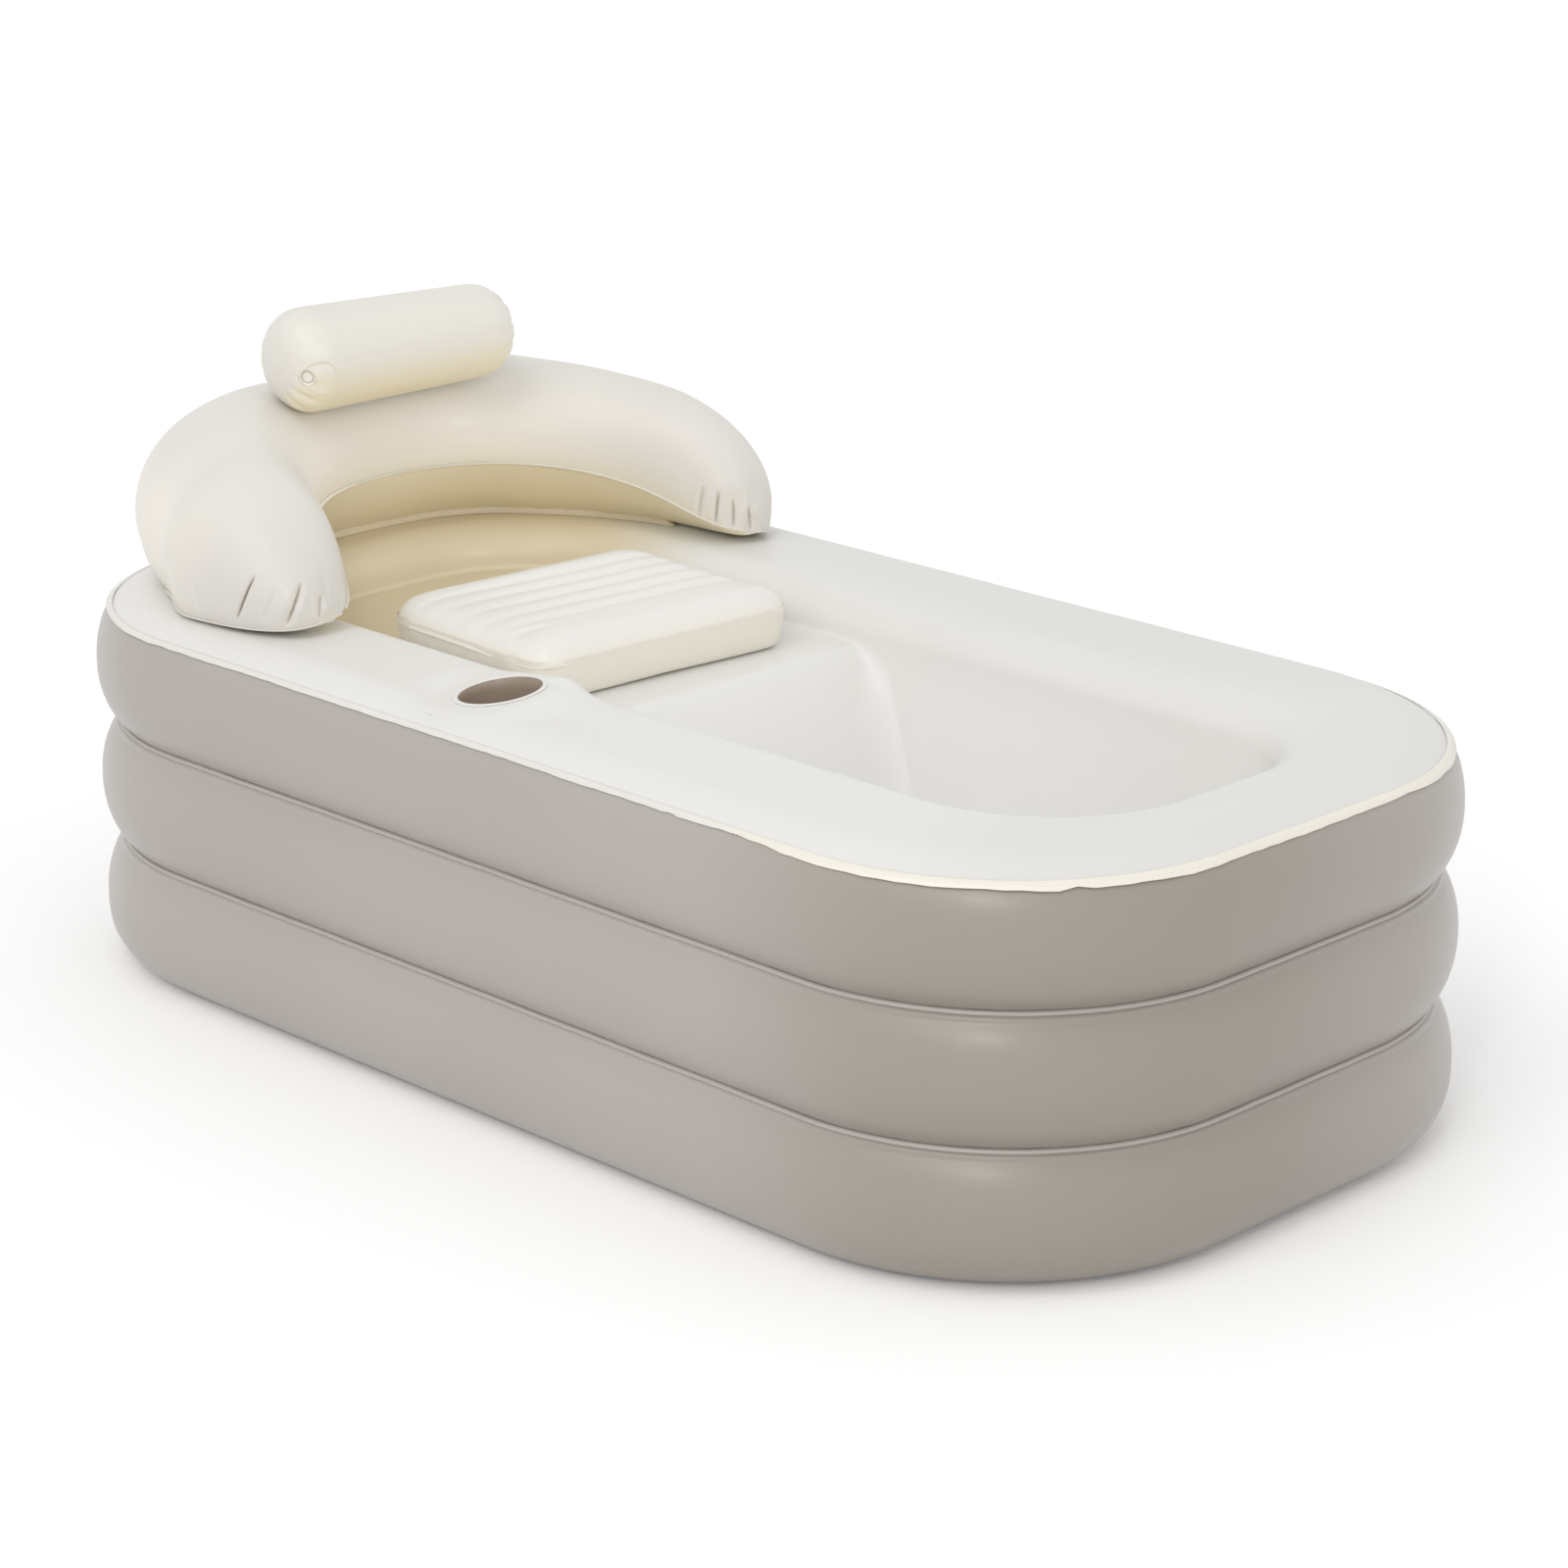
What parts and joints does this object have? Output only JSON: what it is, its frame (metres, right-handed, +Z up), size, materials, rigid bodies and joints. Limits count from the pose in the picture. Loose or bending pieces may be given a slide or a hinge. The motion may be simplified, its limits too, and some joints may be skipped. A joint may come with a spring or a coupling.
{
  "type": "inflatable bathtub",
  "caption": "Inflatable bathtub for one adult: stacked air rings, white bowl liner with raised seat, horseshoe backrest, loose neck roll and seat cushion, cup holder, valves and drain.",
  "frame": {"origin": "on the ground under the middle of the tub's outer length and width", "axes": "+X along the tub from the head end with the backrest to the foot end, +Y to the long side without the cup holder, +Z up"},
  "size_m": [1.6, 0.856, 0.7385],
  "materials": {
    "taupe_film": "satin warm-grey PVC film",
    "white_film": "satin off-white PVC film",
    "cream_film": "satin cream PVC film",
    "cup_film": "satin brown PVC lining",
    "valve_plastic": "milky flexible PVC",
    "cap_plastic": "smooth white moulded plastic",
    "seal_rubber": "matt grey rubber"
  },
  "bodies": {
    "tub": {"lower_ring": "taupe_film", "middle_ring": "taupe_film", "upper_ring": "taupe_film", "inner_liner": "white_film", "rim_weld_bead": "cream_film", "bottom_sheet": "taupe_film", "seat_chamber": "white_film", "floor_chamber": "white_film", "cup_sleeve": "cup_film", "cup_flange": "white_film", "backrest": "cream_film", "backrest_weld_strip": "cream_film", "lower_valve_base": "valve_plastic", "middle_valve_base": "valve_plastic", "upper_valve_base": "valve_plastic", "backrest_valve_base": "valve_plastic", "seat_valve_base": "valve_plastic", "floor_valve_base": "valve_plastic", "drain_seal": "seal_rubber", "drain_pipe": "valve_plastic"},
    "head_pillow": {"head_pillow": "cream_film", "pillow_valve_base": "valve_plastic"},
    "seat_cushion": {"seat_cushion": "cream_film", "cushion_valve_base": "valve_plastic"},
    "lower_valve_plug": {"lower_valve_plug": "valve_plastic"},
    "lower_valve_cap": {"lower_valve_cap": "cap_plastic"},
    "middle_valve_plug": {"middle_valve_plug": "valve_plastic"},
    "middle_valve_cap": {"middle_valve_cap": "cap_plastic"},
    "upper_valve_plug": {"upper_valve_plug": "valve_plastic"},
    "upper_valve_cap": {"upper_valve_cap": "cap_plastic"},
    "backrest_valve_stopper": {"backrest_valve_stopper": "cap_plastic"},
    "pillow_valve_stopper": {"pillow_valve_stopper": "cap_plastic"},
    "cushion_valve_stopper": {"cushion_valve_stopper": "cap_plastic"},
    "seat_valve_stopper": {"seat_valve_stopper": "cap_plastic"},
    "floor_valve_stopper": {"floor_valve_stopper": "cap_plastic"},
    "drain_plug": {"drain_plug": "cap_plastic"},
    "drain_cap": {"drain_cap": "cap_plastic"}
  },
  "joints": [
    {"name": "head_pillow_lift", "type": "slide", "parent": "tub", "child": "head_pillow", "axis": [0, 0, 1], "range_m": [0, 0.15]},
    {"name": "seat_cushion_lift", "type": "slide", "parent": "tub", "child": "seat_cushion", "axis": [0, 0, 1], "range_m": [0, 0.2]},
    {"name": "lower_valve_plug_pull", "type": "slide", "parent": "tub", "child": "lower_valve_plug", "axis": [-1, 0, 0], "range_m": [0, 0.03]},
    {"name": "lower_valve_cap_pull", "type": "slide", "parent": "lower_valve_plug", "child": "lower_valve_cap", "axis": [-1, 0, 0], "range_m": [0, 0.02]},
    {"name": "middle_valve_plug_pull", "type": "slide", "parent": "tub", "child": "middle_valve_plug", "axis": [-1, 0, 0], "range_m": [0, 0.03]},
    {"name": "middle_valve_cap_pull", "type": "slide", "parent": "middle_valve_plug", "child": "middle_valve_cap", "axis": [-1, 0, 0], "range_m": [0, 0.02]},
    {"name": "upper_valve_plug_pull", "type": "slide", "parent": "tub", "child": "upper_valve_plug", "axis": [-1, 0, 0], "range_m": [0, 0.03]},
    {"name": "upper_valve_cap_pull", "type": "slide", "parent": "upper_valve_plug", "child": "upper_valve_cap", "axis": [-1, 0, 0], "range_m": [0, 0.02]},
    {"name": "backrest_valve_stopper_pull", "type": "slide", "parent": "tub", "child": "backrest_valve_stopper", "axis": [-1, 0, 0], "range_m": [0, 0.012]},
    {"name": "pillow_valve_stopper_pull", "type": "slide", "parent": "head_pillow", "child": "pillow_valve_stopper", "axis": [0.5942, -0.7922, -0.1391], "range_m": [0, 0.012]},
    {"name": "cushion_valve_stopper_pull", "type": "slide", "parent": "seat_cushion", "child": "cushion_valve_stopper", "axis": [-0.9976, 0.0698, 0], "range_m": [0, 0.012]},
    {"name": "seat_valve_stopper_pull", "type": "slide", "parent": "tub", "child": "seat_valve_stopper", "axis": [0, 0, 1], "range_m": [0, 0.012]},
    {"name": "floor_valve_stopper_pull", "type": "slide", "parent": "tub", "child": "floor_valve_stopper", "axis": [0, 0, 1], "range_m": [0, 0.012]},
    {"name": "drain_plug_pull", "type": "slide", "parent": "tub", "child": "drain_plug", "axis": [0, -1, 0], "range_m": [0, 0.03]},
    {"name": "drain_cap_pull", "type": "slide", "parent": "tub", "child": "drain_cap", "axis": [0, 1, 0], "range_m": [0, 0.03]}
  ]
}
